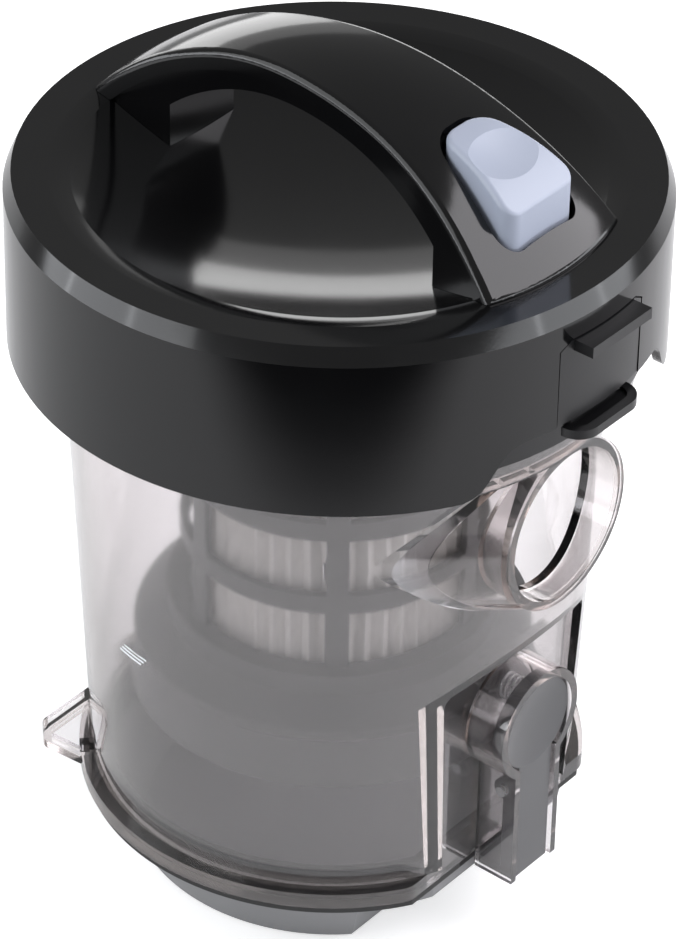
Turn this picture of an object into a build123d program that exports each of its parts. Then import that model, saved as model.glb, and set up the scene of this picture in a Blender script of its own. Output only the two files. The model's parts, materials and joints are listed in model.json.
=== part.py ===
from build123d import *
from math import cos, radians, sin, sqrt
import os

os.makedirs("parts", exist_ok=True)

# All sizes are in millimetres. +Z is up, the inlet port faces -Y, and z = 0 is the resting plane.

# Clearances
moving_gap = 0.4
seat_gap = 0.3
running_fit = 0.06
pin_fit = 0.02
dish_gap = 0.1
weld_gap = 0.05

# Bottom flap and its gasket
pan_depth = 17.5
pan_wall = 2.5
pan_inset = 0.4
pan_taper = 9.5
pan_front_inset = 12.0
pan_front_taper = 7.0
pan_edge_fillet = 3.0
plate_thick = 2.8
plate_inset = 5.0
gasket_thick = 2.0
gasket_lip_height = 8.2
gasket_lip_thick = 2.6
gasket_inset = 1.0
gasket_flange_width = 7.8
gasket_lip_gap = 0.5

# Bin shell
bin_radius_top = 69.0
bin_radius_foot = 63.8
bin_wall = 2.2
flange_width = 3.6
flange_height = 4.6
ledge_rise = 131.4
ledge_thick = 2.5
collar_width = 7.0
collar_wall = 2.2
collar_height = 8.0
rib_angles = (-18.0, -11.0, 11.0, 18.0)
rib_height = 7.0
rib_reach = 5.0
rib_thick = 1.6

# Flat front recess of the bin
panel_cut = 6.8
recess_rise = 59.4
recess_half_foot = 25.2
recess_half_head = 28.6
recess_corner = 5.0
flange_corner = 6.0

# Inlet elbow
port_radius = 22.75
port_bead = 0.5
port_bead_width = 2.0
port_wall = 2.0
port_sleeve = 11.0
port_draft = 0.2
port_stand = 5.0
port_rise = 108.2
elbow_slant = 0.95
elbow_depth = 34.0
elbow_wall = 2.6

# Gusset lugs at the back of the bin
lug_angle = 46.3
lug_length = 9.6
lug_rise = 23.5
lug_thick = 5.0
lug_web = 1.5
lug_rim = 2.2

# Bottom latch
bracket_depth = 12.0
bracket_radius = 15.6
bracket_wall = 2.4
bracket_drop = 5.1
cheek_gap = 14.6
cheek_thick = 2.0
pad_rise = 42.7
pad_thick = 3.5
pad_recess = 1.0
pad_dish = 2.0
pad_dish_radius = 40.0
lever_width = 13.2
lever_thick = 4.0
lever_barrel = 3.2
lever_nose = 2.5
lever_pin_radius = 1.5
lever_pin_rise = 23.4
lever_pin_depth = 7.2
lever_spring_radius = 3.2
lever_spring_wire = 0.7
lever_spring_rise = 7.0

# Flap hinge
hinge_reach = 4.6
hinge_rise = 1.2
hinge_pin_radius = 1.5
hinge_barrel = 3.4
hinge_width = 9.0
hinge_lug_width = 3.6

# Filter set
seal_thick = 2.7
ring_lip_thick = 3.5
ring_plate_thick = 3.0
ring_plate_rise = 5.5
ring_overhang = 2.5
ring_rim_height = 7.1
ring_rim_thick = 2.2
ring_opening = 35.0
tongue_width = 25.5
tongue_neck = 18.0
tongue_length = 6.5
tongue_neck_length = 1.5
tongue_thick = 2.5
tongue_dish = 0.7
tongue_rim = 2.4
tongue_corner = 6.0
cage_step = 5.0
cage_wall = 2.4
cage_length = 91.2
cage_floor = 2.0
cage_base_step = 3.5
cage_base_height = 6.2
cage_bars = 6
cage_bar_width = 5.4
cage_bar_angle = 41.0
cage_rows = 3
cage_window_height = 17.3
cage_row_pitch = 22.5
pleat_count = 48
pleat_depth = 2.4
pleat_gap = 1.0
pleat_bore_step = 5.0
cap_thick = 1.0
top_cap_thick = 3.0
skirt_flare = 8.8
skirt_band = 2.2
skirt_slope = 5.2
skirt_waist_depth = 2.0
skirt_rim_step = 0.8
skirt_edge = 1.4
skirt_length = 22.0
skirt_wall = 2.0

# Lid
lid_ring_gap = 1.6
lid_flare = 0.3
lid_wall = 2.4
lid_overlap = 4.0
lid_wall_height = 42.0
lid_chamfer_width = 2.1
lid_chamfer_height = 4.6
rim_width = 9.0
rim_fall = 0.5
dish_slope_width = 5.4
dish_knee_depth = 1.0
dish_depth = 13.0
dish_bend = 0.62
notch_height = 13.2
notch_top_half = 24.0
notch_foot_half = 42.0
outlet_width = 40.0
outlet_height = 16.0
outlet_rise = 20.0

# Handle
handle_crown = 32.2
handle_end_gap = 0.6
handle_end_rise = 0.6
handle_top_depth = 5.0
handle_seam_step = 1.0
handle_edge = 2.0
foot_length = 25.8
grip_crown = 10.3
grip_shoulder = 17.0
handle_half_rear = 13.0
handle_half_middle = 15.2
handle_half_button = 19.6
handle_half_front = 25.5
handle_screw_length = 10.0

# Release button and hook latch
button_inset = 8.3
button_length = 26.5
button_half_front = 13.4
button_half_rear = 7.5
button_corner = 3.6
button_rear_corner = 7.0
button_slope = 0.62
button_arch = 40.5
button_rise = 1.2
button_height = 28.0
button_middle_step = 12.5
button_thick = 11.0
button_edge = 1.4
button_gap = 1.5
button_dish = 1.3
button_dish_radius = 42.0
button_travel = 4.0
stem_width = 7.0
stem_inset = 0.3
stem_depth = 4.0
stem_gap = 0.5
ramp_gap = 0.45
ramp_rise = 5.1
stem_drop = 20.0
button_spring_radius = 2.6
button_spring_wire = 0.6
button_spring_step = 13.7
button_spring_foot = 7.5
button_spring_length = 11.5
hook_width = 23.0
hook_reach = 4.8
hook_thick = 3.0
hook_drop = 5.4
panel_width = 31.4
panel_chamfer_width = 3.4
panel_chamfer_height = 2.0
arm_width = 13.0
arm_thick = 3.0
arm_drop = 16.6
arm_bar = 2.5
guide_wall = 2.0
guide_inset = 8.5
hook_spring_radius = 1.5
hook_spring_wire = 0.5

# Air duct in the lid
duct_step = 11.0
duct_wall = 2.0
duct_width = 44.0
lid_seal_width = 3.5
lid_seal_height = 3.7

# Screws
screw_radius = 1.5
screw_head_radius = 2.9
screw_head_height = 2.2
screw_bite = 7.0
boss_radius = 3.6
rear_screw_spread = 7.0
rear_screw_inset = 14.8
front_screw_spread = 16.8
front_screw_inset = 20.8
guide_screw_spread = 15.6
guide_screw_inset = 16.5
skirt_screw_step = 15.0
screw_boss_depth = 9.1

# Radii and offsets worked out from the sizes above
flange_radius = bin_radius_foot + flange_width
plate_radius = flange_radius - plate_inset
gasket_radius = flange_radius - gasket_inset
pan_top_radius = plate_radius - pan_inset
pan_bottom_radius = pan_top_radius - pan_taper
panel_offset = bin_radius_foot - panel_cut
pan_front_top = panel_offset - pan_front_inset
pan_front_bottom = pan_front_top - pan_front_taper
collar_radius = bin_radius_top + collar_width
port_reach = bin_radius_top + port_stand
elbow_end = port_reach - elbow_depth
lug_reach = flange_radius + lug_length
ring_outer = collar_radius + ring_overhang
tongue_root = ring_outer + tongue_neck_length
tongue_reach = tongue_root + tongue_length
cage_radius = ring_opening + cage_step
cage_base_radius = cage_radius + cage_base_step
pleat_bore = ring_opening - pleat_bore_step
skirt_radius = cage_base_radius + skirt_flare
skirt_waist = skirt_radius - skirt_waist_depth
skirt_rim_radius = skirt_radius + skirt_rim_step
skirt_screw_circle = cage_radius - skirt_screw_step
duct_radius = ring_opening + duct_step
lid_radius = ring_outer + lid_ring_gap + lid_wall
rim_inner_radius = lid_radius - lid_chamfer_width - rim_width
dish_knee_radius = rim_inner_radius - dish_slope_width
handle_end = rim_inner_radius - handle_end_gap
grip_half = handle_end - foot_length
button_front = handle_end - button_inset
button_middle = button_front - button_middle_step
button_rear = button_front - button_length
stem_front = button_front - stem_inset
stem_back = stem_front - stem_depth
button_spring_offset = button_front - button_spring_step
rear_screw_offset = handle_end - rear_screw_inset
front_screw_offset = handle_end - front_screw_inset
guide_screw_offset = lid_radius - guide_screw_inset
guide_reach = lid_radius - guide_inset

# Heights worked out from the sizes above
flap_top = pan_depth + plate_thick
gasket_top = flap_top + gasket_thick
bin_foot = gasket_top + seat_gap
flange_top = bin_foot + flange_height
ledge_bottom = bin_foot + ledge_rise
ledge_top = ledge_bottom + ledge_thick
bin_top = ledge_bottom + collar_height
seal_top = ledge_top + seal_thick
ring_foot = seal_top + seat_gap
ring_plate_bottom = ring_foot + ring_plate_rise
ring_plate_top = ring_plate_bottom + ring_plate_thick
cage_bottom = ring_plate_bottom - cage_length
lid_bottom = bin_top - lid_overlap
lid_shoulder = lid_bottom + lid_wall_height
lid_top = lid_shoulder + lid_chamfer_height
rim_inner_top = lid_top - rim_fall
dish_floor = rim_inner_top - dish_depth
port_height = bin_foot + port_rise
recess_roof = bin_foot + recess_rise
pad_height = bin_foot + pad_rise
lever_pin_height = bin_foot + lever_pin_rise
lever_pin_offset = panel_offset + lever_pin_depth
hinge_offset = flange_radius + hinge_reach
hinge_height = flap_top + hinge_rise


def wall_radius(height):
    """Outer radius of the tapered bin wall at a height."""
    share = (height - bin_foot) / ledge_rise
    return bin_radius_foot + share * (bin_radius_top - bin_radius_foot)


def upright(angle):
    """Plane through the bin's axis: local x is outwards at the angle, local y is up."""
    turn = radians(angle)
    return Plane((0, 0, 0), x_dir=(cos(turn), sin(turn), 0), z_dir=(sin(turn), -cos(turn), 0))


def facing_front(offset):
    """Upright plane at a distance in front of the axis: local x is X, local y is up."""
    return Plane((0, -offset, 0), x_dir=(1, 0, 0), z_dir=(0, -1, 0))


def recess_points(inset):
    """Side outline of the flat front recess, moved towards the axis by an inset."""
    face = panel_offset - inset
    roof = recess_roof + inset * (sqrt(2) - 1)
    out = lid_radius
    return [(-face, 0), (-out, 0), (-out, roof + out - face), (-face, roof)]


def d_shape(radius, flat):
    """Disc with a flat cut across its front."""
    Circle(radius)
    with Locations((0, -flat)):
        Rectangle(2 * radius, radius, align=(Align.CENTER, Align.MAX), mode=Mode.SUBTRACT)


# Space inside the bin
with BuildPart() as bin_cavity:
    with BuildSketch(Plane.XZ):
        Polygon(
            (0, bin_foot),
            (bin_radius_foot - bin_wall, bin_foot),
            (bin_radius_top - bin_wall, ledge_top),
            (collar_radius - collar_wall, ledge_top),
            (collar_radius - collar_wall, bin_top),
            (0, bin_top),
            align=None,
        )
    revolve(axis=Axis.Z)
    with BuildSketch(Plane.YZ):
        Polygon(*recess_points(bin_wall), align=None)
    extrude(amount=lid_radius, both=True, mode=Mode.SUBTRACT)

# Inlet elbow: a straight sleeve in a tube that slants along the bin's wall
port_plane = Plane((0, -port_reach, port_height), x_dir=(1, 0, 0), z_dir=(0, 1, 0))
elbow_plane = Plane((-elbow_slant * elbow_depth, -elbow_end, port_height), x_dir=(1, 0, 0), z_dir=(0, 1, 0))
low = (Align.CENTER, Align.CENTER, Align.MIN)
high = (Align.CENTER, Align.CENTER, Align.MAX)
bore_radius = port_radius - port_wall

elbow_tubes = []
for tube_radius in (port_radius, port_radius + weld_gap, port_radius - elbow_wall):
    with BuildPart() as elbow_tube:
        with BuildSketch(port_plane):
            Circle(tube_radius)
        with BuildSketch(elbow_plane):
            Circle(tube_radius)
        loft()
    elbow_tubes.append(elbow_tube.part)


def bin_outline(grow):
    """Half outline of the turned bin, its wall and ledge grown outwards by an amount."""
    return [
        (0, bin_foot),
        (flange_radius, bin_foot),
        (flange_radius, flange_top),
        (wall_radius(flange_top) + grow, flange_top),
        (bin_radius_top + grow, ledge_bottom - grow),
        (collar_radius, ledge_bottom - grow),
        (collar_radius, bin_top),
        (0, bin_top),
    ]


with BuildPart() as inlet_elbow:
    add(elbow_tubes[0])
    add(elbow_tubes[2], mode=Mode.SUBTRACT)
    with Locations(port_plane):
        Cylinder(port_radius, port_sleeve, align=low)
        Cylinder(port_radius + port_bead, port_bead_width, align=low)
        Cylinder(bore_radius, port_sleeve, align=low, mode=Mode.SUBTRACT)
    with BuildSketch(Plane.XZ):
        Polygon(*bin_outline(weld_gap), align=None)
    revolve(axis=Axis.Z, mode=Mode.SUBTRACT)
inlet_elbow.part.label = "inlet_elbow"
export_step(inlet_elbow.part, "parts/inlet_elbow.step")

# Ribs under the bin's collar, cut back round the elbow
with BuildPart() as collar_ribs:
    for angle in rib_angles:
        with BuildSketch(upright(angle - 90)):
            Polygon(
                (bin_radius_top - bin_wall / 2, ledge_bottom),
                (bin_radius_top + rib_reach, ledge_bottom),
                (bin_radius_top - bin_wall / 2, ledge_bottom - rib_height),
                align=None,
            )
        extrude(amount=rib_thick / 2, both=True)
    add(elbow_tubes[1], mode=Mode.SUBTRACT)
    with Locations(port_plane):
        Cone(
            port_radius + weld_gap + port_draft,
            port_radius + weld_gap,
            port_reach,
            align=low,
            mode=Mode.SUBTRACT,
        )

# Flat recess in the bin's front
with BuildPart() as front_recess:
    with BuildSketch(facing_front(0)) as recess_face:
        Polygon(
            (-recess_half_foot, bin_foot),
            (recess_half_foot, bin_foot),
            (recess_half_head, recess_roof + recess_corner),
            (-recess_half_head, recess_roof + recess_corner),
            align=None,
        )
        fillet(recess_face.vertices().group_by(Axis.Y)[-1], recess_corner)
        with Locations((0, recess_roof + recess_corner)):
            Rectangle(
                2 * (recess_half_head - recess_corner),
                recess_half_head,
                align=(Align.CENTER, Align.MIN),
            )
    extrude(amount=lid_radius)
    with BuildSketch(Plane.YZ):
        Polygon(*recess_points(0), align=None)
    extrude(amount=lid_radius, both=True, mode=Mode.INTERSECT)

# Bin shell, moulded with its latch bracket and lugs
with BuildPart() as bin_shell:
    with BuildSketch(Plane.XZ):
        Polygon(*bin_outline(0), align=None)
    revolve(axis=Axis.Z)
    with Locations((0, -panel_offset, bin_foot)):
        Box(
            2 * lid_radius,
            lid_radius,
            flange_height,
            align=(Align.CENTER, Align.MAX, Align.MIN),
            mode=Mode.SUBTRACT,
        )
    flange_ends = bin_shell.edges().filter_by(Axis.Z).filter_by(lambda e: e.center().Z < flange_top)
    fillet(flange_ends.sort_by(Axis.Y)[:2], flange_corner)
    add(front_recess.part, mode=Mode.SUBTRACT)
    with BuildSketch(facing_front(panel_offset)):
        with Locations((0, pad_height)):
            Circle(bracket_radius)
        with Locations((0, bin_foot - bracket_drop)):
            Rectangle(
                cheek_gap + 2 * cheek_thick,
                pad_rise + bracket_drop,
                align=(Align.CENTER, Align.MIN),
            )
    extrude(amount=bracket_depth)
    with BuildSketch(facing_front(panel_offset)):
        with Locations((0, pad_height)):
            Circle(bracket_radius - bracket_wall)
        with Locations((0, bin_foot - bracket_drop)):
            Rectangle(cheek_gap, pad_rise + bracket_drop, align=(Align.CENTER, Align.MIN))
    extrude(amount=bracket_depth, mode=Mode.SUBTRACT)
    add(collar_ribs.part)
    for side in (-1, 1):
        lug_root = bin_radius_foot - bin_wall / 2
        lug_outline = [
            (lug_root, bin_foot),
            (flange_radius, bin_foot),
            (lug_reach, flange_top + lug_rim),
            (lug_reach, bin_foot + lug_rise / 2),
            (lug_root, bin_foot + lug_rise),
        ]
        with BuildSketch(upright(90 + side * lug_angle)) as lug_face:
            Polygon(*lug_outline, align=None)
            fillet(lug_face.vertices().group_by(Axis.X)[-1], lug_rim)
        extrude(amount=lug_thick / 2, both=True)
        for web_side in (-1, 1):
            with BuildSketch(upright(90 + side * lug_angle).offset(web_side * lug_web / 2)) as lug_pocket:
                Polygon(*lug_outline, align=None)
                offset(amount=-lug_rim, mode=Mode.REPLACE)
            extrude(amount=web_side * lug_thick / 2, mode=Mode.SUBTRACT)
        with Locations((side * (hinge_width / 2 + moving_gap + hinge_lug_width / 2), 0, 0)):
            with Locations((0, hinge_offset, bin_foot)):
                Box(
                    hinge_lug_width,
                    hinge_offset - bin_radius_foot + bin_wall / 2,
                    flange_height,
                    align=(Align.CENTER, Align.MAX, Align.MIN),
                )
            with Locations((0, hinge_offset, hinge_height)):
                Cylinder(hinge_barrel, hinge_lug_width, rotation=(0, 90, 0))
    add(bin_cavity.part, mode=Mode.SUBTRACT)
    add(elbow_tubes[2], mode=Mode.SUBTRACT)
    with Locations(port_plane):
        Cone(bore_radius, bore_radius + port_draft, elbow_depth / 2, align=low, mode=Mode.SUBTRACT)
    with Locations((0, -lever_pin_offset, lever_pin_height)):
        Cylinder(
            lever_pin_radius + pin_fit,
            cheek_gap + 3 * cheek_thick,
            rotation=(0, 90, 0),
            mode=Mode.SUBTRACT,
        )
    with Locations((0, hinge_offset, hinge_height)):
        Cylinder(
            hinge_pin_radius + pin_fit,
            hinge_width + 3 * hinge_lug_width,
            rotation=(0, 90, 0),
            mode=Mode.SUBTRACT,
        )
bin_shell.part.label = "bin_shell"
export_step(bin_shell.part, "parts/bin_shell.step")

# Bottom flap: a flat plate with a dished pan below and a hinge barrel behind
plate_flat = panel_offset - moving_gap
with BuildPart() as bottom_flap:
    with BuildSketch(Plane.XY.offset(pan_depth)):
        d_shape(plate_radius, plate_flat)
    extrude(amount=plate_thick)
    with BuildSketch():
        d_shape(pan_bottom_radius, pan_front_bottom)
    with BuildSketch(Plane.XY.offset(pan_depth)):
        d_shape(pan_top_radius, pan_front_top)
    loft()
    fillet(bottom_flap.faces().sort_by(Axis.Z)[0].edges(), pan_edge_fillet)
    with BuildSketch(Plane.XY.offset(pan_wall)):
        d_shape(pan_bottom_radius - pan_wall, pan_front_bottom - pan_wall)
    with BuildSketch(Plane.XY.offset(flap_top)):
        d_shape(pan_top_radius - pan_wall, pan_front_top - pan_wall)
    loft(mode=Mode.SUBTRACT)
    with Locations((0, hinge_offset, pan_depth)):
        Box(
            hinge_width,
            hinge_offset - pan_top_radius,
            plate_thick,
            align=(Align.CENTER, Align.MAX, Align.MIN),
        )
    with Locations((0, hinge_offset, hinge_height)):
        Cylinder(hinge_barrel, hinge_width, rotation=(0, 90, 0))
        Cylinder(
            hinge_pin_radius + running_fit, 2 * hinge_width, rotation=(0, 90, 0), mode=Mode.SUBTRACT
        )
bottom_flap.part.label = "bottom_flap"
export_step(bottom_flap.part, "parts/bottom_flap.step")

# Gasket on the flap: a flat flange under the bin and a lip that stands inside it
lip_radius = bin_radius_foot - bin_wall - gasket_lip_gap
lip_flat = panel_offset - bin_wall - 2 * gasket_lip_gap
with BuildPart() as flap_gasket:
    with BuildSketch(Plane.XY.offset(flap_top)):
        d_shape(gasket_radius, plate_flat)
        Circle(gasket_radius - gasket_flange_width, mode=Mode.SUBTRACT)
    extrude(amount=gasket_thick)
    with BuildSketch(Plane.XY.offset(flap_top)):
        d_shape(lip_radius, lip_flat)
    extrude(amount=gasket_thick + gasket_lip_height)
    with BuildSketch(Plane.XY.offset(flap_top)):
        d_shape(lip_radius - gasket_lip_thick, lip_flat - gasket_lip_thick)
    extrude(amount=gasket_thick + gasket_lip_height, mode=Mode.SUBTRACT)
flap_gasket.part.label = "flap_gasket"
export_step(flap_gasket.part, "parts/flap_gasket.step")

# Pin of the flap hinge
hinge_pin_length = hinge_width + 2 * moving_gap + 2 * hinge_lug_width
with BuildPart() as hinge_pin:
    with Locations((0, hinge_offset, hinge_height)):
        Cylinder(hinge_pin_radius, hinge_pin_length, rotation=(0, 90, 0))
hinge_pin.part.label = "hinge_pin"
export_step(hinge_pin.part, "parts/hinge_pin.step")

# Release lever: thumb pad above, barrel on the pin, tail with a nose below
lever_front = panel_offset + bracket_depth - pad_recess
pad_radius = bracket_radius - bracket_wall - moving_gap
lever_foot = bin_foot - bracket_drop
with BuildPart() as release_lever:
    with BuildSketch(facing_front(lever_front - pad_thick)):
        with Locations((0, pad_height)):
            Circle(pad_radius)
    extrude(amount=pad_thick)
    with BuildSketch(facing_front(lever_front - lever_thick)):
        with Locations((0, lever_foot)):
            Rectangle(lever_width, pad_height - lever_foot, align=(Align.CENTER, Align.MIN))
    extrude(amount=lever_thick)
    with Locations((0, -lever_pin_offset, lever_pin_height)):
        Cylinder(lever_barrel, lever_width, rotation=(0, 90, 0))
    with Locations((0, -lever_front, lever_foot)):
        Box(
            lever_width,
            lever_front - plate_flat - moving_gap,
            lever_nose,
            align=(Align.CENTER, Align.MIN, Align.MIN),
        )
    with Locations((0, -lever_front - pad_dish_radius + pad_dish, pad_height)):
        Sphere(pad_dish_radius, mode=Mode.SUBTRACT)
    with Locations((0, -lever_pin_offset, lever_pin_height)):
        Cylinder(
            lever_pin_radius + running_fit, 2 * lever_width, rotation=(0, 90, 0), mode=Mode.SUBTRACT
        )
release_lever.part.label = "release_lever"
export_step(release_lever.part, "parts/release_lever.step")

# Pin of the release lever
with BuildPart() as lever_pin:
    with Locations((0, -lever_pin_offset, lever_pin_height)):
        Cylinder(lever_pin_radius, cheek_gap + 2 * cheek_thick, rotation=(0, 90, 0))
lever_pin.part.label = "lever_pin"
export_step(lever_pin.part, "parts/lever_pin.step")

# Spring behind the thumb pad
lever_spring_length = lever_front - pad_thick - panel_offset - 2 * lever_spring_wire
with BuildPart() as lever_spring:
    with BuildLine() as lever_coil:
        Helix(
            pitch=lever_spring_length / 4,
            height=lever_spring_length,
            radius=lever_spring_radius,
            center=(0, -panel_offset - lever_spring_wire, pad_height + lever_spring_rise),
            direction=(0, -1, 0),
        )
    with BuildSketch(Plane(origin=lever_coil.line @ 0, z_dir=lever_coil.line % 0)):
        Circle(lever_spring_wire / 2)
    sweep()
lever_spring.part.label = "lever_spring"
export_step(lever_spring.part, "parts/lever_spring.step")

# Seal on the ledge of the bin's collar
seal_outer = collar_radius - collar_wall - seat_gap
with BuildPart() as bin_top_seal:
    with BuildSketch(Plane.XY.offset(ledge_top)):
        Circle(seal_outer)
        Circle(seal_outer - ring_lip_thick - seat_gap, mode=Mode.SUBTRACT)
    extrude(amount=seal_thick)
bin_top_seal.part.label = "bin_top_seal"
export_step(bin_top_seal.part, "parts/bin_top_seal.step")

# Filter ring with its pull tongue
ring_lip_outer = collar_radius - collar_wall - moving_gap
ring_rim_bottom = bin_top + moving_gap
ring_rim_top = ring_rim_bottom + ring_rim_height
with BuildPart() as filter_ring:
    with BuildSketch(Plane.XZ):
        Polygon(
            (ring_opening, ring_plate_bottom),
            (ring_lip_outer - ring_lip_thick, ring_plate_bottom),
            (ring_lip_outer - ring_lip_thick, ring_foot),
            (ring_lip_outer, ring_foot),
            (ring_lip_outer, ring_rim_bottom),
            (ring_outer, ring_rim_bottom),
            (ring_outer, ring_rim_top),
            (ring_outer - ring_rim_thick, ring_rim_top),
            (ring_outer - ring_rim_thick, ring_plate_top),
            (ring_opening, ring_plate_top),
            align=None,
        )
    revolve(axis=Axis.Z)
    with BuildSketch(Plane.XY.offset(ring_rim_top - tongue_thick)) as tongue:
        with Locations((0, -tongue_reach)):
            Rectangle(tongue_width, tongue_reach - tongue_root, align=(Align.CENTER, Align.MIN))
        fillet(tongue.vertices().group_by(Axis.Y)[0], min(tongue_corner, 0.93 * tongue_length))
        with Locations((0, -tongue_root)):
            Rectangle(
                tongue_neck,
                tongue_root - ring_outer + ring_rim_thick,
                align=(Align.CENTER, Align.MIN),
            )
    extrude(amount=tongue_thick)
    with BuildSketch(Plane.XY.offset(ring_rim_top)) as tongue_hollow:
        with Locations((0, -tongue_reach + tongue_rim)):
            Rectangle(
                tongue_width - 2 * tongue_rim,
                tongue_reach - tongue_root - tongue_rim,
                align=(Align.CENTER, Align.MIN),
            )
        hollow_corner = min(tongue_corner, 0.93 * tongue_length) - tongue_rim
        fillet(tongue_hollow.vertices().group_by(Axis.Y)[0], hollow_corner)
    extrude(amount=-tongue_dish, mode=Mode.SUBTRACT)
filter_ring.part.label = "filter_ring"
export_step(filter_ring.part, "parts/filter_ring.step")

# Filter cage: a tube with rows of windows, standing on a wider base
window_angle = 360 / cage_bars
window_width = 2 * cage_radius * sin(radians(window_angle / 2)) - cage_bar_width
with BuildPart() as filter_cage:
    with BuildSketch(Plane.XY.offset(cage_bottom)):
        Circle(cage_base_radius)
    extrude(amount=cage_base_height)
    with BuildSketch(Plane.XY.offset(cage_bottom)):
        Circle(cage_radius)
    extrude(amount=cage_length)
    with BuildSketch(Plane.XY.offset(cage_bottom + cage_floor)):
        Circle(cage_radius - cage_wall)
    extrude(amount=cage_length - cage_floor, mode=Mode.SUBTRACT)
    for row in range(cage_rows):
        window_base = cage_bottom + cage_base_height + row * cage_row_pitch
        with PolarLocations(cage_radius, cage_bars, start_angle=cage_bar_angle + window_angle / 2):
            with Locations((0, 0, window_base)):
                Box(
                    cage_radius,
                    window_width,
                    cage_window_height,
                    align=(Align.CENTER, Align.CENTER, Align.MIN),
                    mode=Mode.SUBTRACT,
                )
    with Locations((0, 0, cage_bottom)):
        with PolarLocations(skirt_screw_circle, 3):
            Cylinder(screw_radius + pin_fit, cage_floor, align=low, mode=Mode.SUBTRACT)
filter_cage.part.label = "filter_cage"
export_step(filter_cage.part, "parts/filter_cage.step")

# Caps that close the ends of the pleats
pleat_outer = cage_radius - cage_wall - pleat_gap
pleat_bottom = cage_bottom + cage_floor + cap_thick
pleat_top = ring_plate_bottom - top_cap_thick
with BuildPart() as filter_end_cap:
    with BuildSketch(Plane.XY.offset(cage_bottom + cage_floor)):
        Circle(pleat_outer)
    extrude(amount=cap_thick)
filter_end_cap.part.label = "filter_end_cap"
export_step(filter_end_cap.part, "parts/filter_end_cap.step")

with BuildPart() as filter_top_cap:
    with BuildSketch(Plane.XY.offset(pleat_top)):
        Circle(pleat_outer)
        Circle(pleat_bore, mode=Mode.SUBTRACT)
    extrude(amount=top_cap_thick)
filter_top_cap.part.label = "filter_top_cap"
export_step(filter_top_cap.part, "parts/filter_top_cap.step")

# Pleated filter
pleat_points = []
for fold in range(2 * pleat_count):
    fold_turn = radians(180 * fold / pleat_count)
    fold_radius = pleat_outer - pleat_depth * (fold % 2)
    pleat_points.append((fold_radius * cos(fold_turn), fold_radius * sin(fold_turn)))
with BuildPart() as filter_pleats:
    with BuildSketch(Plane.XY.offset(pleat_bottom)):
        Polygon(*pleat_points, align=None)
        Circle(pleat_bore, mode=Mode.SUBTRACT)
    extrude(amount=pleat_top - pleat_bottom)
filter_pleats.part.label = "filter_pleats"
export_step(filter_pleats.part, "parts/filter_pleats.step")

# Skirt under the cage that keeps the dust down
skirt_top = cage_bottom
band_top = skirt_top - skirt_slope
band_bottom = band_top - skirt_band
waist = band_bottom - (skirt_radius - skirt_waist)
skirt_bottom = skirt_top - skirt_length
with BuildPart() as separator_skirt:
    with BuildSketch(Plane.XZ) as skirt_side:
        Polygon(
            (0, skirt_top),
            (cage_base_radius, skirt_top),
            (skirt_radius, band_top),
            (skirt_radius, band_bottom),
            (skirt_waist, waist),
            (skirt_rim_radius, skirt_bottom),
            (skirt_rim_radius - skirt_wall, skirt_bottom),
            (skirt_waist - skirt_wall, waist),
            (skirt_waist - skirt_wall, band_bottom),
            (skirt_radius - skirt_wall, band_bottom + skirt_wall),
            (skirt_radius - skirt_wall, band_top - skirt_wall),
            (cage_base_radius - skirt_wall, skirt_top - skirt_wall),
            (0, skirt_top - skirt_wall),
            align=None,
        )
        shoulder_edge = skirt_side.vertices().filter_by(
            lambda v: v.X > skirt_radius - seat_gap and v.Y > band_bottom
        )
        fillet(shoulder_edge, skirt_edge)
    revolve(axis=Axis.Z)
    with Locations((0, 0, skirt_top)):
        with PolarLocations(skirt_screw_circle, 3):
            Cylinder(screw_radius + pin_fit, 3 * skirt_wall, mode=Mode.SUBTRACT)
separator_skirt.part.label = "separator_skirt"
export_step(separator_skirt.part, "parts/separator_skirt.step")

# Screws that hold the skirt to the cage
with BuildPart() as skirt_screws:
    with Locations((0, 0, skirt_top - skirt_wall)):
        with PolarLocations(skirt_screw_circle, 3):
            Cylinder(screw_head_radius, screw_head_height, align=high)
            Cylinder(screw_radius, skirt_wall + cage_floor, align=low)
skirt_screws.part.label = "skirt_screws"
export_step(skirt_screws.part, "parts/skirt_screws.step")

# Turned body under the lid's dished top
knee_height = rim_inner_top - dish_knee_depth
bend_radius = (rim_inner_radius + dish_knee_radius) / 2
slope_radius = dish_knee_radius / 2
bowl_rise = knee_height - dish_floor
bowl_radius = (dish_knee_radius**2 + bowl_rise**2) / (2 * bowl_rise)
slope_height = dish_floor + bowl_radius - sqrt(bowl_radius**2 - slope_radius**2)
with BuildPart() as dish_body:
    with BuildSketch(Plane.XZ):
        with BuildLine():
            ThreePointArc((0, dish_floor), (slope_radius, slope_height), (dish_knee_radius, knee_height))
            ThreePointArc(
                (dish_knee_radius, knee_height),
                (bend_radius, knee_height + dish_bend),
                (rim_inner_radius, rim_inner_top),
            )
            Polyline(
                (rim_inner_radius, rim_inner_top),
                (lid_radius - lid_chamfer_width, lid_top),
                (lid_radius, lid_shoulder),
                (lid_radius + lid_flare, lid_bottom),
                (0, lid_bottom),
                (0, dish_floor),
            )
        make_face()
    revolve(axis=Axis.Z)

# Space inside the lid
with BuildPart() as lid_hollow:
    with BuildSketch(Plane.XY.offset(lid_bottom - lid_wall)):
        Circle(lid_radius - lid_wall)
    extrude(amount=lid_wall_height + lid_chamfer_height)
    add(dish_body.part.moved(Location((0, 0, -lid_wall))), mode=Mode.INTERSECT)

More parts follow.
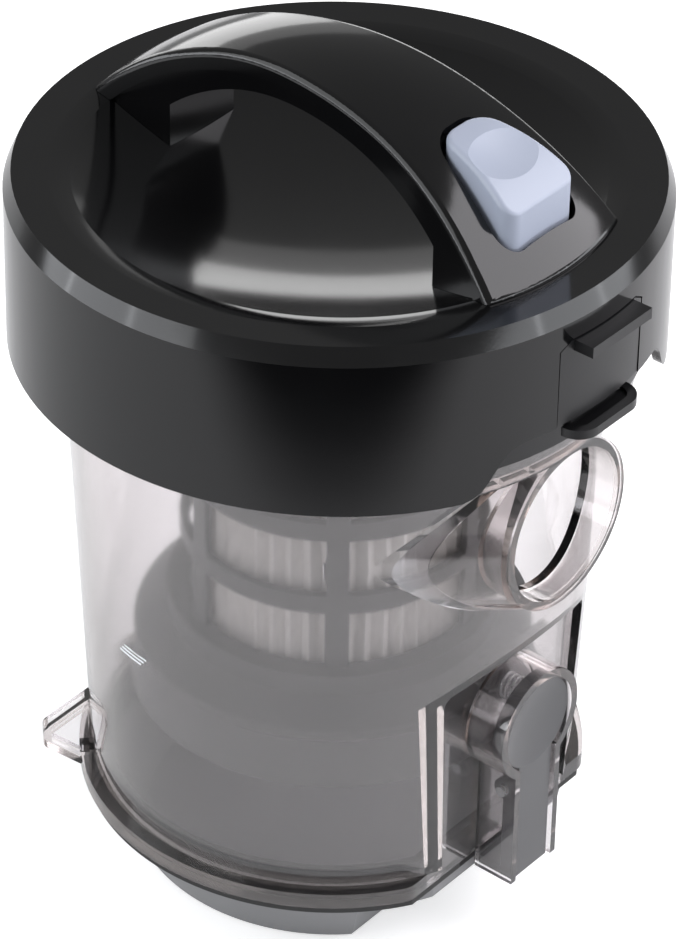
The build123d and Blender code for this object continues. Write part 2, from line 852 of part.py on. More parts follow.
# Places on the lid that several pieces share
hook_top = lid_shoulder - hook_drop
panel_bottom = lid_bottom + notch_height + seat_gap
panel_outline = [
    (-panel_width / 2, panel_bottom),
    (panel_width / 2, panel_bottom),
    (panel_width / 2, hook_top - panel_chamfer_height),
    (panel_width / 2 - panel_chamfer_width, hook_top),
    (panel_chamfer_width - panel_width / 2, hook_top),
    (-panel_width / 2, hook_top - panel_chamfer_height),
]
screw_face = rim_inner_top - screw_boss_depth
handle_screw_spots = [
    (-rear_screw_spread, rear_screw_offset),
    (rear_screw_spread, rear_screw_offset),
    (-front_screw_spread, -front_screw_offset),
    (front_screw_spread, -front_screw_offset),
]
guide_screw_spots = [
    (-guide_screw_spread, -guide_screw_offset),
    (guide_screw_spread, -guide_screw_offset),
]
arm_bottom = lid_shoulder - arm_drop
arm_top = arm_bottom + arm_thick
guide_top = arm_bottom - moving_gap
guide_bottom = guide_top - guide_wall
stem_hole_width = stem_width + 2 * stem_gap
stem_hole_front = stem_front + stem_gap
stem_hole_length = stem_front - stem_back + ramp_rise + 2 * stem_gap
front_low = (Align.CENTER, Align.MIN, Align.MIN)

# Lid shell
with BuildPart() as lid_shell:
    add(dish_body.part)
    add(lid_hollow.part, mode=Mode.SUBTRACT)
    with Locations(*[(x, y, screw_face) for x, y in handle_screw_spots]):
        Cylinder(boss_radius, lid_wall, align=low)
    with Locations(*[(x, y, guide_top + dish_gap) for x, y in guide_screw_spots]):
        Cylinder(boss_radius, lid_top - guide_top, align=low)
    add(dish_body.part, mode=Mode.INTERSECT)
    with BuildSketch(facing_front(dish_knee_radius)):
        with BuildLine():
            Spline(
                (-notch_foot_half, lid_bottom),
                (-notch_top_half, lid_bottom + notch_height),
                tangents=((1, 0), (1, 0)),
            )
            Line((-notch_top_half, lid_bottom + notch_height), (notch_top_half, lid_bottom + notch_height))
            Spline(
                (notch_top_half, lid_bottom + notch_height),
                (notch_foot_half, lid_bottom),
                tangents=((1, 0), (1, 0)),
            )
            Line((notch_foot_half, lid_bottom), (-notch_foot_half, lid_bottom))
        make_face()
    extrude(amount=dish_knee_radius, mode=Mode.SUBTRACT)
    with BuildSketch(facing_front(lid_radius - 3 * lid_wall)):
        Polygon(*panel_outline, align=None)
        offset(amount=moving_gap, kind=Kind.INTERSECTION)
    extrude(amount=6 * lid_wall, mode=Mode.SUBTRACT)
    with Locations((0, lid_radius, lid_bottom + outlet_rise)):
        Box(
            outlet_width,
            6 * lid_wall,
            outlet_height,
            align=(Align.CENTER, Align.CENTER, Align.MIN),
            mode=Mode.SUBTRACT,
        )
    with Locations((0, -stem_hole_front, arm_top)):
        Box(stem_hole_width, stem_hole_length, lid_wall_height, align=front_low, mode=Mode.SUBTRACT)
    with Locations(*[(x, y, arm_top) for x, y in handle_screw_spots]):
        Cylinder(screw_radius + pin_fit, lid_wall_height, align=low, mode=Mode.SUBTRACT)
    with Locations(*[(x, y, guide_bottom) for x, y in guide_screw_spots]):
        Cylinder(screw_radius + pin_fit, screw_bite + guide_wall + seat_gap, align=low, mode=Mode.SUBTRACT)
lid_shell.part.label = "lid_shell"
export_step(lid_shell.part, "parts/lid_shell.step")

# Seal between the filter ring and the lid's duct
with BuildPart() as lid_seal:
    with BuildSketch(Plane.XY.offset(ring_plate_top + seat_gap)):
        Circle(duct_radius)
        Circle(duct_radius - lid_seal_width, mode=Mode.SUBTRACT)
    extrude(amount=lid_seal_height)
lid_seal.part.label = "lid_seal"
export_step(lid_seal.part, "parts/lid_seal.step")

# Duct from the filter's mouth to the outlet in the lid's back
duct_bottom = ring_plate_top + seat_gap + lid_seal_height
with BuildPart() as lid_duct:
    with BuildSketch(Plane.XY.offset(duct_bottom)):
        Circle(duct_radius)
        Rectangle(duct_width, lid_radius, align=(Align.CENTER, Align.MIN))
    extrude(amount=lid_wall_height)
    with BuildSketch(Plane.XY.offset(duct_bottom + duct_wall)):
        Circle(duct_radius - duct_wall)
        Rectangle(duct_width - 2 * duct_wall, lid_radius, align=(Align.CENTER, Align.MIN))
    extrude(amount=lid_wall_height, mode=Mode.SUBTRACT)
    with BuildSketch(Plane.XY.offset(duct_bottom)):
        Circle(duct_radius - lid_seal_width)
    extrude(amount=duct_wall, mode=Mode.SUBTRACT)
    with BuildSketch(Plane.XY.offset(duct_bottom)):
        Circle(lid_radius - lid_wall - dish_gap)
    extrude(amount=lid_wall_height, mode=Mode.INTERSECT)
    add(lid_hollow.part.moved(Location((0, 0, -dish_gap))), mode=Mode.INTERSECT)
lid_duct.part.label = "lid_duct"
export_step(lid_duct.part, "parts/lid_duct.step")

# Guide that carries the hook's arm under the dish
guide_back = duct_radius + stem_gap
guide_half = arm_width / 2 + moving_gap + guide_wall
with BuildPart() as latch_guide:
    with Locations((0, -guide_reach, guide_bottom)):
        Box(2 * guide_half, guide_reach - guide_back, lid_wall_height, align=front_low)
    with Locations((0, -guide_reach, guide_top)):
        Box(
            arm_width + 2 * moving_gap,
            guide_reach - guide_back - guide_wall,
            lid_wall_height,
            align=front_low,
            mode=Mode.SUBTRACT,
        )
    with BuildSketch(Plane.XY.offset(guide_bottom)):
        with Locations((0, -guide_screw_offset)):
            SlotCenterToCenter(2 * guide_screw_spread, 2 * boss_radius)
    extrude(amount=guide_wall)
    with Locations((0, -stem_hole_front, guide_bottom)):
        Box(stem_hole_width, stem_hole_length, guide_wall, align=front_low, mode=Mode.SUBTRACT)
    with Locations(*[(x, y, guide_bottom) for x, y in guide_screw_spots]):
        Cylinder(screw_radius + pin_fit, guide_wall, align=low, mode=Mode.SUBTRACT)
    add(lid_hollow.part.moved(Location((0, 0, -dish_gap))), mode=Mode.INTERSECT)
latch_guide.part.label = "latch_guide"
export_step(latch_guide.part, "parts/latch_guide.step")

# Screws that hold the guide to the lid
with BuildPart() as guide_screws:
    with Locations(*[(x, y, guide_bottom) for x, y in guide_screw_spots]):
        Cylinder(screw_head_radius, screw_head_height, align=high)
        Cylinder(screw_radius, screw_bite + guide_wall, align=low)
guide_screws.part.label = "guide_screws"
export_step(guide_screws.part, "parts/guide_screws.step")

# Outlines of the handle's upper and lower half seen from above
handle_plans = []
for inset in (0, handle_seam_step):
    plan_end = handle_end - inset
    half_rear = handle_half_rear - inset
    half_front = handle_half_front - inset
    rear_corner = sqrt(plan_end**2 - half_rear**2)
    front_corner = sqrt(plan_end**2 - half_front**2)
    with BuildSketch() as handle_plan:
        with BuildLine():
            ThreePointArc((-half_rear, rear_corner), (0, plan_end), (half_rear, rear_corner))
            ThreePointArc((-half_front, -front_corner), (0, -plan_end), (half_front, -front_corner))
            for side in (-1, 1):
                Line((side * half_rear, rear_corner), (side * half_rear, grip_half * 2 / 3))
                Spline(
                    (side * half_rear, grip_half * 2 / 3),
                    (side * (handle_half_middle - inset), 0),
                    (side * (handle_half_button - inset), -grip_half * 8 / 9),
                    (side * half_front, -front_corner),
                    tangents=((0, -1), (side * 0.24, -0.97)),
                )
        make_face()
    handle_plans.append(handle_plan.sketch)

# Outline of the button seen from above, and the space that it moves in
with BuildSketch() as button_plan:
    Polygon(
        (-button_half_rear, -button_rear),
        (button_half_rear, -button_rear),
        (button_half_front, -button_front),
        (-button_half_front, -button_front),
        align=None,
    )
    fillet(button_plan.vertices().group_by(Axis.Y)[0], button_corner)
    fillet(button_plan.vertices().group_by(Axis.Y)[-1], button_rear_corner)


def button_plane(drop):
    """Sloped plane of the button's top, lowered by a drop."""
    origin = (0, -button_middle, lid_shoulder + button_height - drop)
    return Plane(origin, x_dir=(1, 0, 0), z_dir=(0, -button_slope, 1))


with BuildPart() as button_space:
    with BuildSketch():
        add(button_plan.sketch)
        offset(amount=button_gap)
    extrude(amount=lid_top + 2 * handle_crown)
    split(bisect_by=button_plane(button_thick + button_travel + stem_gap), keep=Keep.TOP)

# Upper half of the handle, a dome in a curved plan
crown_height = rim_inner_top + handle_crown
end_height = rim_inner_top + handle_end_rise
arch_sag = crown_height - end_height
arch_radius = (handle_end**2 + arch_sag**2) / (2 * arch_sag)
arch_centre = crown_height - arch_radius
lower_top = handle_top_depth + dish_gap
with BuildPart() as handle_top:
    with BuildSketch(Plane.XY.offset(arch_centre)):
        add(handle_plans[0])
    extrude(amount=arch_radius + handle_top_depth)
    with Locations((0, 0, arch_centre)):
        Sphere(arch_radius, rotation=(0, 90, 0), mode=Mode.INTERSECT)
    top_face = handle_top.faces().sort_by(Axis.Z)[-1]
    fillet(top_face.edges(), handle_edge)
    with Locations((0, 0, arch_centre)):
        Sphere(arch_radius - handle_top_depth, rotation=(0, 90, 0), mode=Mode.SUBTRACT)
    add(dish_body.part.moved(Location((0, 0, dish_gap))), mode=Mode.SUBTRACT)
    add(button_space.part, mode=Mode.SUBTRACT)
handle_top.part.label = "handle_top"
export_step(handle_top.part, "parts/handle_top.step")

# Lower half of the handle, with the rear foot and the front neck
underside = crown_height - grip_crown
shoulder = underside - grip_shoulder
with BuildPart() as handle_bottom:
    with BuildSketch(Plane.YZ):
        with BuildLine():
            ThreePointArc((grip_half, shoulder), (0, underside), (-grip_half, shoulder))
            Polyline(
                (-grip_half, shoulder),
                (-grip_half, screw_face),
                (-handle_end, screw_face),
                (-handle_end, crown_height),
                (handle_end, crown_height),
                (handle_end, screw_face),
                (grip_half, screw_face),
                (grip_half, shoulder),
            )
        make_face()
    extrude(amount=lid_radius, both=True)
    with BuildSketch(Plane.XY.offset(arch_centre)):
        add(handle_plans[1])
    extrude(amount=arch_radius, mode=Mode.INTERSECT)
    with Locations((0, 0, arch_centre)):
        Sphere(arch_radius - lower_top, rotation=(0, 90, 0), mode=Mode.INTERSECT)
    add(dish_body.part.moved(Location((0, 0, dish_gap))), mode=Mode.SUBTRACT)
    add(button_space.part, mode=Mode.SUBTRACT)
    with Locations((0, -stem_hole_front, dish_floor)):
        Box(stem_hole_width, stem_hole_length, handle_crown, align=front_low, mode=Mode.SUBTRACT)
    with Locations((0, -button_spring_offset, lid_shoulder + button_spring_foot)):
        Cylinder(button_spring_radius + 2 * button_spring_wire, handle_crown, align=low, mode=Mode.SUBTRACT)
    with Locations(*[(x, y, screw_face) for x, y in handle_screw_spots]):
        Cylinder(screw_radius + pin_fit, handle_screw_length + seat_gap, align=low, mode=Mode.SUBTRACT)
handle_bottom.part.label = "handle_bottom"
export_step(handle_bottom.part, "parts/handle_bottom.step")

# Screws that hold the handle to the dish
with BuildPart() as handle_screws:
    with Locations(*[(x, y, screw_face - dish_gap) for x, y in handle_screw_spots]):
        Cylinder(screw_head_radius, screw_head_height, align=high)
        Cylinder(screw_radius, handle_screw_length, align=low)
handle_screws.part.label = "handle_screws"
export_step(handle_screws.part, "parts/handle_screws.step")

# Release button with the stem whose ramp draws the hook in
stem_bottom = lid_shoulder - stem_drop
stem_top = lid_shoulder + button_height - button_thick
ramp_back = stem_back - ramp_rise
spring_seat = lid_shoulder + button_spring_foot + button_spring_length
button_top = arch_centre + sqrt(arch_radius**2 - button_rear**2) + button_rise
button_arch_centre = button_top - button_arch
dish_lean = (button_middle - button_rear) / button_arch
dish_reach = button_arch + button_dish_radius - button_dish
with BuildPart() as release_button:
    with BuildSketch():
        add(button_plan.sketch)
    extrude(amount=lid_top + 2 * handle_crown)
    with BuildSketch(Plane.YZ):
        with Locations((-button_rear, button_arch_centre)):
            Circle(button_arch)
    extrude(amount=lid_radius, both=True, mode=Mode.INTERSECT)
    upper_edges = release_button.edges().filter_by(lambda e: e.center().Z > lid_shoulder)
    fillet(upper_edges - upper_edges.filter_by(Axis.Z), button_edge)
    with Locations(
        (0, -button_rear - dish_lean * dish_reach, button_arch_centre + sqrt(1 - dish_lean**2) * dish_reach)
    ):
        Sphere(button_dish_radius, mode=Mode.SUBTRACT)
    split(bisect_by=button_plane(button_thick), keep=Keep.TOP)
    with BuildSketch(Plane.YZ):
        Polygon(
            (-stem_front, stem_bottom),
            (-stem_back, stem_bottom),
            (-stem_back, arm_top),
            (-ramp_back, arm_top + ramp_rise),
            (-ramp_back, arm_top + 3 * ramp_rise / 2),
            (-stem_back, arm_top + 5 * ramp_rise / 2),
            (-stem_back, stem_top),
            (-stem_front, stem_top),
            align=None,
        )
    extrude(amount=stem_width / 2, both=True)
    with Locations((0, -button_spring_offset, spring_seat)):
        Cylinder(button_spring_radius + button_spring_wire, button_thick, align=high, mode=Mode.SUBTRACT)
release_button.part.label = "release_button"
export_step(release_button.part, "parts/release_button.step")

# Spring under the button
button_coil_length = button_spring_length - button_spring_wire - 2 * dish_gap
with BuildPart() as button_spring:
    with BuildLine() as button_coil:
        Helix(
            pitch=button_coil_length / 6,
            height=button_coil_length,
            radius=button_spring_radius,
            center=(
                0,
                -button_spring_offset,
                lid_shoulder + button_spring_foot + button_spring_wire / 2 + dish_gap,
            ),
        )
    with BuildSketch(Plane(origin=button_coil.line @ 0, z_dir=button_coil.line % 0)):
        Circle(button_spring_wire / 2)
    sweep()
button_spring.part.label = "button_spring"
export_step(button_spring.part, "parts/button_spring.step")

# Hook latch: plate in the lid's front wall, hook bar outside it and arm behind it
panel_outer = lid_radius - pin_fit
arm_window_front = stem_hole_front + button_travel
arm_window_back = stem_back - ramp_gap
arm_back = arm_window_back - arm_bar
with BuildPart() as hook_latch:
    with BuildSketch(Plane.XY.offset(panel_bottom)):
        Circle(panel_outer)
        Circle(lid_radius - lid_wall, mode=Mode.SUBTRACT)
    extrude(amount=hook_top - panel_bottom)
    with BuildSketch(facing_front(0)):
        Polygon(*panel_outline, align=None)
    extrude(amount=lid_radius, mode=Mode.INTERSECT)
    with Locations((0, -panel_outer - hook_reach, hook_top - hook_thick)):
        Box(hook_width, hook_reach + lid_wall / 2, hook_thick, align=front_low)
    with Locations((0, lid_wall / 2 - lid_radius, arm_bottom)):
        Box(arm_width, lid_radius - lid_wall / 2 - arm_back, arm_thick, align=front_low)
    with Locations((0, -arm_window_front, arm_bottom)):
        Box(
            stem_hole_width,
            arm_window_front - arm_window_back,
            arm_thick,
            align=front_low,
            mode=Mode.SUBTRACT,
        )
hook_latch.part.label = "hook_latch"
export_step(hook_latch.part, "parts/hook_latch.step")

# Spring behind the hook's arm
hook_coil_length = arm_back - guide_back - guide_wall - hook_spring_wire - 2 * dish_gap
with BuildPart() as hook_spring:
    with BuildLine() as hook_coil:
        Helix(
            pitch=hook_coil_length / 3,
            height=hook_coil_length,
            radius=hook_spring_radius,
            center=(
                0,
                hook_spring_wire / 2 + dish_gap - arm_back,
                arm_bottom + arm_thick / 2,
            ),
            direction=(0, 1, 0),
        )
    with BuildSketch(Plane(origin=hook_coil.line @ 0, z_dir=hook_coil.line % 0)):
        Circle(hook_spring_wire / 2)
    sweep()
hook_spring.part.label = "hook_spring"
export_step(hook_spring.part, "parts/hook_spring.step")
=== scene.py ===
import json
import math
import bpy
from mathutils import Matrix, Vector


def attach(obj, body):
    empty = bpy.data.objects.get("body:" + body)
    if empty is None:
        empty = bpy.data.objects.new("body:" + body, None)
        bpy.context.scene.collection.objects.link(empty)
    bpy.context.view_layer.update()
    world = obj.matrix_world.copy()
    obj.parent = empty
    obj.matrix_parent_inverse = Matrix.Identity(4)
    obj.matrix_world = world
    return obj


# Lengths are in metres and angles in degrees, apart from the camera's lens, which is in millimetres
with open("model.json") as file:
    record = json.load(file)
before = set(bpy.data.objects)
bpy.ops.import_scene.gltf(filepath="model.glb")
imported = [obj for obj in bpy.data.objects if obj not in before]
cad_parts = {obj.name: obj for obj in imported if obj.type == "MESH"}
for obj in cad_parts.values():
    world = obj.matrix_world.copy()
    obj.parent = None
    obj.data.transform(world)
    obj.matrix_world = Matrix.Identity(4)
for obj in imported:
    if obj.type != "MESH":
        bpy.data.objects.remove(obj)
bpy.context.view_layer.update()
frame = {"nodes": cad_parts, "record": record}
nodes = frame["nodes"]

# Materials: the stretch of a noise that is spread over a finish's two limits
noise_low = 0.3
noise_high = 0.7


def start_material(name):
    """New node material; gives it back with its tree and its shader."""
    material = bpy.data.materials.new(name)
    material.use_nodes = True
    tree = material.node_tree
    shader = tree.nodes["Principled BSDF"]
    return material, tree, shader


def noise_on_piece(tree, scale, detail, stretch=(1.0, 1.0, 1.0)):
    """Noise that sits on the piece's own coordinates."""
    place = tree.nodes.new("ShaderNodeTexCoord")
    turn = tree.nodes.new("ShaderNodeMapping")
    turn.inputs["Scale"].default_value = stretch
    noise = tree.nodes.new("ShaderNodeTexNoise")
    noise.inputs["Scale"].default_value = scale
    noise.inputs["Detail"].default_value = detail
    tree.links.new(place.outputs["Object"], turn.inputs["Vector"])
    tree.links.new(turn.outputs["Vector"], noise.inputs["Vector"])
    return noise


def spread(tree, noise, low, high):
    """Maps a noise onto a range of values."""
    node = tree.nodes.new("ShaderNodeMapRange")
    node.inputs["From Min"].default_value = noise_low
    node.inputs["From Max"].default_value = noise_high
    node.inputs["To Min"].default_value = low
    node.inputs["To Max"].default_value = high
    tree.links.new(noise.outputs["Fac"], node.inputs["Value"])
    return node.outputs["Result"]


def tint(tree, noise, dark, light):
    """Maps a noise onto two shades of one colour."""
    ramp = tree.nodes.new("ShaderNodeValToRGB")
    ramp.color_ramp.elements[0].position = noise_low
    ramp.color_ramp.elements[0].color = (*dark, 1.0)
    ramp.color_ramp.elements[1].position = noise_high
    ramp.color_ramp.elements[1].color = (*light, 1.0)
    tree.links.new(noise.outputs["Fac"], ramp.inputs["Fac"])
    return ramp.outputs["Color"]


def raise_grain(tree, shader, noise, strength, height):
    """Bumps the surface by a noise."""
    bump = tree.nodes.new("ShaderNodeBump")
    bump.inputs["Strength"].default_value = strength
    bump.inputs["Distance"].default_value = height
    tree.links.new(noise.outputs["Fac"], bump.inputs["Height"])
    tree.links.new(bump.outputs["Normal"], shader.inputs["Normal"])


def moulded_plastic(name, dark, light, rough, grain_size, grain_height):
    """Moulded plastic: slight shade changes, uneven gloss and a fine grain."""
    material, tree, shader = start_material(name)
    cloud = noise_on_piece(tree, scale=22.0, detail=3.0)
    grain = noise_on_piece(tree, scale=1.0 / grain_size, detail=2.0)
    tree.links.new(tint(tree, cloud, dark, light), shader.inputs["Base Color"])
    tree.links.new(spread(tree, cloud, rough[0], rough[1]), shader.inputs["Roughness"])
    raise_grain(tree, shader, grain, strength=0.5, height=grain_height)
    return material


def smoked_clear(name, density):
    """Clear plastic with a slight haze, whose smoke grows with the depth that the light goes through."""
    material, tree, shader = start_material(name)
    shader.inputs["Base Color"].default_value = (0.97, 0.97, 1.0, 1.0)
    shader.inputs["Transmission Weight"].default_value = 0.99
    shader.inputs["IOR"].default_value = 1.46
    shader.inputs["Coat Weight"].default_value = 1.0
    shader.inputs["Coat Roughness"].default_value = 0.03
    cloud = noise_on_piece(tree, scale=30.0, detail=2.0)
    tree.links.new(spread(tree, cloud, 0.06, 0.09), shader.inputs["Roughness"])
    smoke = tree.nodes.new("ShaderNodeVolumeAbsorption")
    smoke.inputs["Color"].default_value = (0.30, 0.17, 0.10, 1.0)
    smoke.inputs["Density"].default_value = density
    tree.links.new(smoke.outputs["Volume"], tree.nodes["Material Output"].inputs["Volume"])
    return material


def filter_paper(name):
    """Felted filter paper with fibres, its colour lightened above the paper's own as painted light in
    the pleat valleys.
    """
    material, tree, shader = start_material(name)
    fibre = noise_on_piece(tree, scale=900.0, detail=4.0, stretch=(1.0, 1.0, 0.25))
    # Painted light: both fibre shades are lighter than the paper's own colour, so that the pleat valleys
    # show less shade
    shade = tint(tree, fibre, dark=(0.70, 0.68, 0.65), light=(0.80, 0.78, 0.75))
    tree.links.new(shade, shader.inputs["Base Color"])
    shader.inputs["Roughness"].default_value = 0.95
    raise_grain(tree, shader, fibre, strength=0.4, height=0.0003)
    return material


def plated_steel(name):
    """Drawn steel wire and screws with fine scratches."""
    material, tree, shader = start_material(name)
    scratch = noise_on_piece(tree, scale=1500.0, detail=2.0, stretch=(1.0, 1.0, 0.1))
    shade = tint(tree, scratch, dark=(0.50, 0.50, 0.51), light=(0.66, 0.66, 0.67))
    tree.links.new(shade, shader.inputs["Base Color"])
    tree.links.new(spread(tree, scratch, 0.25, 0.42), shader.inputs["Roughness"])
    shader.inputs["Metallic"].default_value = 1.0
    return material


bin_smoke = 90.0
elbow_smoke = 170.0
finishes = {
    "smoked_clear": smoked_clear("smoked_clear_plastic", bin_smoke),
    "gloss_black": moulded_plastic(
        "gloss_black_plastic",
        dark=(0.0022, 0.0022, 0.0025),
        light=(0.0034, 0.0034, 0.0038),
        rough=(0.09, 0.13),
        grain_size=0.0006,
        grain_height=0.000006,
    ),
    "black_satin": moulded_plastic(
        "satin_black_plastic",
        dark=(0.005, 0.005, 0.0055),
        light=(0.009, 0.009, 0.01),
        rough=(0.28, 0.36),
        grain_size=0.0005,
        grain_height=0.00003,
    ),
    "button_grey": moulded_plastic(
        "button_grey_plastic",
        dark=(0.40, 0.44, 0.54),
        light=(0.43, 0.47, 0.57),
        rough=(0.34, 0.42),
        grain_size=0.0004,
        grain_height=0.00002,
    ),
    # Painted shade: the cage's grey is darkened below its own colour to offset the light that the lamps
    # throw into the bin
    "cage_grey": moulded_plastic(
        "cage_grey_plastic_painted_shade",
        dark=(0.045, 0.045, 0.047),
        light=(0.06, 0.06, 0.062),
        rough=(0.40, 0.5),
        grain_size=0.0005,
        grain_height=0.00003,
    ),
    # Painted shade: the skirt's grey is darkened well below its own colour to offset the light that the
    # lamps throw into the bin
    "skirt_grey": moulded_plastic(
        "skirt_grey_plastic_painted_shade",
        dark=(0.06, 0.06, 0.063),
        light=(0.08, 0.08, 0.083),
        rough=(0.45, 0.55),
        grain_size=0.0005,
        grain_height=0.00003,
    ),
    # Painted shade: the flap's grey is darkened below its own colour to offset the light that the lamps
    # throw into the bin
    "flap_grey": moulded_plastic(
        "flap_grey_plastic_painted_shade",
        dark=(0.19, 0.19, 0.195),
        light=(0.23, 0.23, 0.235),
        rough=(0.38, 0.46),
        grain_size=0.0005,
        grain_height=0.00003,
    ),
    # Painted shade: the lever's grey is darkened below its own colour to offset the light from the lamps
    "lever_grey": moulded_plastic(
        "lever_grey_plastic_painted_shade",
        dark=(0.085, 0.085, 0.088),
        light=(0.105, 0.105, 0.108),
        rough=(0.26, 0.34),
        grain_size=0.0004,
        grain_height=0.00001,
    ),
    "black_rubber": moulded_plastic(
        "black_rubber",
        dark=(0.012, 0.012, 0.012),
        light=(0.02, 0.02, 0.02),
        rough=(0.45, 0.55),
        grain_size=0.0007,
        grain_height=0.000008,
    ),
    "filter_paper": filter_paper("filter_paper"),
    "steel": plated_steel("plated_steel"),
}
white_print = moulded_plastic(
    "white_print",
    dark=(0.80, 0.82, 0.86),
    light=(0.86, 0.88, 0.92),
    rough=(0.4, 0.5),
    grain_size=0.0003,
    grain_height=0.000005,
)
for entry in frame["record"]["subparts"]:
    piece = nodes[entry["node"]]
    piece.data.materials.clear()
    piece.data.materials.append(finishes[entry["material_slot"]])
nodes["inlet_elbow"].data.materials[0] = smoked_clear("smoked_elbow_plastic", elbow_smoke)

# Fill marks: three short lines printed on the bin's wall, each lower and further round than the last
mark_radius = 0.06628
mark_height = 0.0861
mark_width = 0.00055
mark_thick = 0.00008
mark_from = 167.0
mark_to = 174.6
mark_count = 3
mark_pitch = 0.00115
mark_shift = 0.9
mark_facets = 720
bpy.ops.object.select_all(action="DESELECT")
bpy.ops.mesh.primitive_cylinder_add(
    vertices=mark_facets,
    radius=mark_radius,
    depth=mark_width,
    end_fill_type="NOTHING",
    location=(0.0, 0.0, mark_height),
)
level_marks = bpy.context.object
level_marks.name = "level_marks"
bpy.ops.object.transform_apply(location=True, rotation=True, scale=True)
bpy.ops.object.mode_set(mode="EDIT")
for bearing, side in ((mark_from, -1.0), (mark_to, 1.0)):
    across = math.radians(bearing + 90.0)
    bpy.ops.mesh.select_all(action="SELECT")
    bpy.ops.mesh.bisect(
        plane_co=(0.0, 0.0, mark_height),
        plane_no=(side * math.cos(across), side * math.sin(across), 0.0),
        clear_outer=True,
    )
bpy.ops.mesh.select_all(action="SELECT")
bpy.ops.mesh.solidify(thickness=mark_thick)
bpy.ops.mesh.select_all(action="SELECT")
bpy.ops.mesh.normals_make_consistent(inside=False)
for _ in range(mark_count - 1):
    bpy.ops.mesh.duplicate()
    bpy.ops.transform.translate(value=(0.0, 0.0, -mark_pitch))
    bpy.ops.transform.rotate(
        value=math.radians(mark_shift), orient_axis="Z", center_override=(0.0, 0.0, mark_height)
    )
bpy.ops.object.mode_set(mode="OBJECT")
level_marks.data.materials.append(white_print)
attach(level_marks, "bin")

# Directions in plan as the photo's camera sees them
toward_camera = Vector((-0.782, -0.623, 0.0))
to_left = Vector((toward_camera.y, -toward_camera.x, 0.0))


def seen_by_camera_or_glass(tree):
    """One for the camera's rays and for those that go straight on through the clear bin, else zero."""
    path = tree.nodes.new("ShaderNodeLightPath")
    straight = tree.nodes.new("ShaderNodeMath")
    straight.operation = "LESS_THAN"
    straight.inputs[1].default_value = 0.5
    tree.links.new(path.outputs["Diffuse Depth"], straight.inputs[0])
    through = tree.nodes.new("ShaderNodeMath")
    through.operation = "MULTIPLY"
    tree.links.new(path.outputs["Is Transmission Ray"], through.inputs[0])
    tree.links.new(straight.outputs["Value"], through.inputs[1])
    either = tree.nodes.new("ShaderNodeMath")
    either.operation = "MAXIMUM"
    tree.links.new(path.outputs["Is Camera Ray"], either.inputs[0])
    tree.links.new(through.outputs["Value"], either.inputs[1])
    return either.outputs["Value"]


# Floor, white round the object, with painted shade that makes it dark further out towards the camera,
# for the gloss black to reflect
floor_size = 6.0
floor_white_to = 0.27
floor_painted_shade_from = 0.36
floor_glow_strength = 0.5
bpy.ops.object.select_all(action="DESELECT")
bpy.ops.mesh.primitive_plane_add(size=floor_size, location=(0.0, 0.0, 0.0))
floor = bpy.context.object
floor.name = "floor"
floor_finish, floor_tree, floor_shader = start_material("floor_white")
floor_place = floor_tree.nodes.new("ShaderNodeTexCoord")
floor_reach = floor_tree.nodes.new("ShaderNodeVectorMath")
floor_reach.operation = "DOT_PRODUCT"
floor_reach.inputs[1].default_value = toward_camera
floor_tree.links.new(floor_place.outputs["Object"], floor_reach.inputs[0])
floor_painted_shade_mask = floor_tree.nodes.new("ShaderNodeMapRange")
floor_painted_shade_mask.interpolation_type = "SMOOTHSTEP"
floor_painted_shade_mask.inputs["From Min"].default_value = floor_white_to
floor_painted_shade_mask.inputs["From Max"].default_value = floor_painted_shade_from
floor_tree.links.new(floor_reach.outputs["Value"], floor_painted_shade_mask.inputs["Value"])
# Painted shade: the ramp runs from the floor's white to near black, standing in for the unlit room
# towards the camera
floor_shade = floor_tree.nodes.new("ShaderNodeValToRGB")
floor_shade.color_ramp.elements[0].color = (0.86, 0.86, 0.86, 1.0)
floor_shade.color_ramp.elements[1].color = (0.02, 0.02, 0.02, 1.0)
floor_tree.links.new(floor_painted_shade_mask.outputs["Result"], floor_shade.inputs["Fac"])
floor_tree.links.new(floor_shade.outputs["Color"], floor_shader.inputs["Base Color"])
floor_shader.inputs["Roughness"].default_value = 0.9
floor_shader.inputs["Specular IOR Level"].default_value = 0.0
floor_glow = floor_tree.nodes.new("ShaderNodeMath")
floor_glow.operation = "MULTIPLY"
floor_glow.inputs[1].default_value = floor_glow_strength
floor_tree.links.new(seen_by_camera_or_glass(floor_tree), floor_glow.inputs[0])
floor_shader.inputs["Emission Color"].default_value = (1.0, 1.0, 1.0, 1.0)
floor_tree.links.new(floor_glow.outputs["Value"], floor_shader.inputs["Emission Strength"])
floor.data.materials.append(floor_finish)

# World: white to the camera and through the clear bin, dim as a light
world_dim = 0.28
world_white = 1.0
world = bpy.data.worlds.new("studio")
bpy.context.scene.world = world
world.use_nodes = True
world_tree = world.node_tree
world_level = world_tree.nodes.new("ShaderNodeMapRange")
world_level.inputs["To Min"].default_value = world_dim
world_level.inputs["To Max"].default_value = world_white
world_tree.links.new(seen_by_camera_or_glass(world_tree), world_level.inputs["Value"])
world_tree.nodes["Background"].inputs["Color"].default_value = (1.0, 1.0, 1.0, 1.0)
world_tree.links.new(world_level.outputs["Result"], world_tree.nodes["Background"].inputs["Strength"])

# Lamps
lamp_aim = Vector((0.0, 0.0, 0.12))


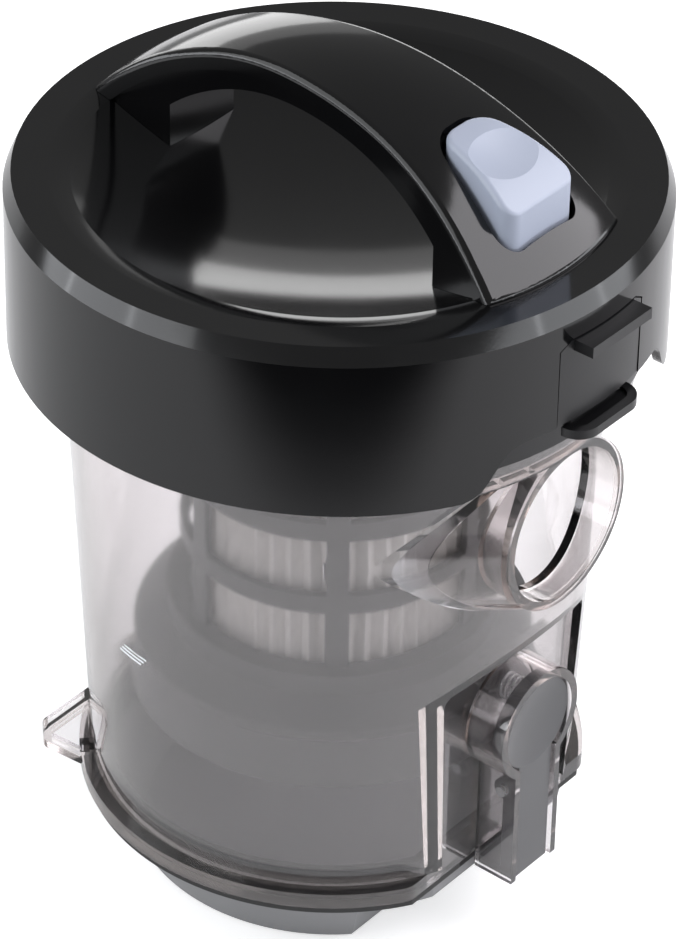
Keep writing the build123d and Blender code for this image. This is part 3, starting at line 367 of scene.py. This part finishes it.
def softbox(name, bearing, rise, distance, width, height, brightness, colour=(1.0, 1.0, 1.0)):
    """Rectangular lamp round the object; the bearing goes from the camera to its left."""
    level = toward_camera * math.cos(math.radians(bearing)) + to_left * math.sin(math.radians(bearing))
    place = lamp_aim + distance * (
        level * math.cos(math.radians(rise)) + Vector((0.0, 0.0, math.sin(math.radians(rise))))
    )
    lamp = bpy.data.lights.new(name, "AREA")
    lamp.shape = "RECTANGLE"
    lamp.size = width
    lamp.size_y = height
    lamp.color = colour
    lamp.energy = brightness * math.pi * width * height
    holder = bpy.data.objects.new(name, lamp)
    bpy.context.scene.collection.objects.link(holder)
    holder.location = place
    holder.rotation_euler = (lamp_aim - place).to_track_quat("-Z", "Y").to_euler()


softbox(
    "softbox_left",
    bearing=72.0,
    rise=34.0,
    distance=1.1,
    width=1.2,
    height=0.8,
    brightness=2.0,
    colour=(0.96, 0.98, 1.0),
)
softbox(
    "softbox_right",
    bearing=-95.0,
    rise=42.0,
    distance=1.1,
    width=1.0,
    height=0.8,
    brightness=4.2,
    colour=(0.98, 0.96, 1.0),
)
softbox("softbox_back", bearing=176.0, rise=8.0, distance=1.0, width=1.6, height=0.28, brightness=2.4)
softbox("fill_back", bearing=176.0, rise=20.0, distance=1.0, width=1.6, height=0.16, brightness=0.5)
for strip_bearing in (28.0, 53.0, 78.0, 103.0):
    for strip_name, strip_side in (("strip_left", 1.0), ("strip_right", -1.0)):
        softbox(
            strip_name,
            bearing=strip_side * strip_bearing,
            rise=7.0,
            distance=1.2,
            width=0.56,
            height=0.28,
            brightness=3.4,
            colour=(0.94, 0.96, 1.0),
        )

# Camera, as solved from the photo
camera_place = Vector((-0.70777, -0.58344, 0.76615))
camera_right = Vector((0.634791, -0.772410, 0.020563))
camera_up = Vector((0.438873, 0.382327, 0.813153))
camera_back = Vector((-0.635949, -0.507158, 0.581687))
camera_turn = Matrix((camera_right, camera_up, camera_back)).transposed().to_4x4()
camera_data = bpy.data.cameras.new("photo_camera")
camera_data.sensor_fit = "VERTICAL"
camera_data.sensor_height = 36.0
camera_data.lens = 168.16
camera_data.shift_x = -0.0564
camera_data.shift_y = 0.0098
camera_data.clip_start = 0.05
camera = bpy.data.objects.new("photo_camera", camera_data)
bpy.context.scene.collection.objects.link(camera)
camera.matrix_world = Matrix.Translation(camera_place) @ camera_turn
bpy.context.scene.camera = camera

bpy.context.scene.view_settings.view_transform = "Standard"
